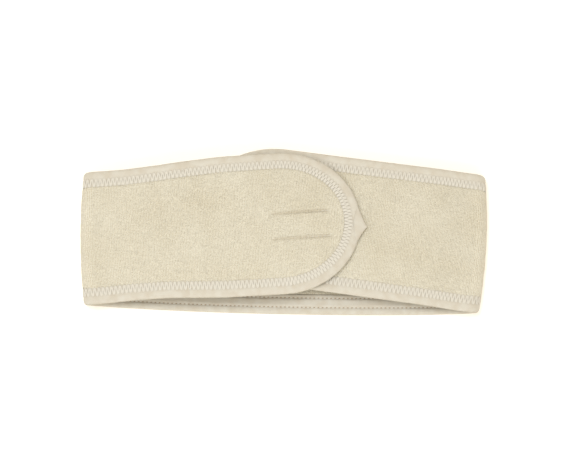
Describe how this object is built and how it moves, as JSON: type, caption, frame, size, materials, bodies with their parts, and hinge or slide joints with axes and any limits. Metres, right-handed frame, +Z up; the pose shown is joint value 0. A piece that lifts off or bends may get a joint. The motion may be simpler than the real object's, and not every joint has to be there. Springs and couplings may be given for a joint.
{
  "type": "spa headband",
  "caption": "Terry cloth spa headband folded flat into a loop, with bound edges and a rounded flap that closes over the other end with hook and loop patches.",
  "frame": {"origin": "middle of the back panel's flat underside", "axes": "+X from the left fold to the right fold, +Y across the band to its upper edge, +Z up from the table through the back panel to the closing flap"},
  "size_m": [0.2565, 0.102, 0.0208],
  "materials": {
    "terry": "ivory stretch terry cloth",
    "tape": "smooth knitted edge tape",
    "thread": "spun polyester sewing thread",
    "hook": "woven tape with nylon hooks",
    "loop": "brushed nylon loop tape"
  },
  "bodies": {
    "back": {"back_terry_cloth": "terry", "back_edge_tape_top": "tape", "back_edge_tape_bottom": "tape", "back_cover_stitch_top": "thread", "back_cover_stitch_bottom": "thread"},
    "left_panel": {"left_terry_cloth": "terry", "left_edge_tape_top": "tape", "left_edge_tape_bottom": "tape", "left_cover_stitch_top": "thread", "left_cover_stitch_bottom": "thread"},
    "flap": {"flap_terry_cloth": "terry", "flap_edge_tape": "tape", "flap_cover_stitch": "thread", "hook_patch": "hook", "hook_patch_stitching": "thread", "edge_tape_join": "tape"},
    "right_panel": {"right_terry_cloth": "terry", "right_edge_tape": "tape", "right_cover_stitch": "thread", "loop_patch": "loop", "loop_patch_stitching": "thread"}
  },
  "joints": [
    {"name": "left_fold", "type": "hinge", "parent": "back", "child": "left_panel", "pos_m": [-0.12626, 0.00007, 0.00725], "axis": [0.0419, -0.9991, 0], "range_deg": [0, 105]},
    {"name": "flap_peel", "type": "hinge", "parent": "left_panel", "child": "flap", "pos_m": [-0.03533, 0.00779, 0.0208], "axis": [0.0837, -0.9965, 0], "range_deg": [0, 75]},
    {"name": "right_fold", "type": "hinge", "parent": "back", "child": "right_panel", "pos_m": [0.12627, 0.00011, 0.00725], "axis": [0.0593, 0.9982, 0], "range_deg": [0, 31.5]}
  ],
  "couplings": [
    {"joint": "right_fold", "follows": "left_fold", "ratio": 0.3}
  ]
}
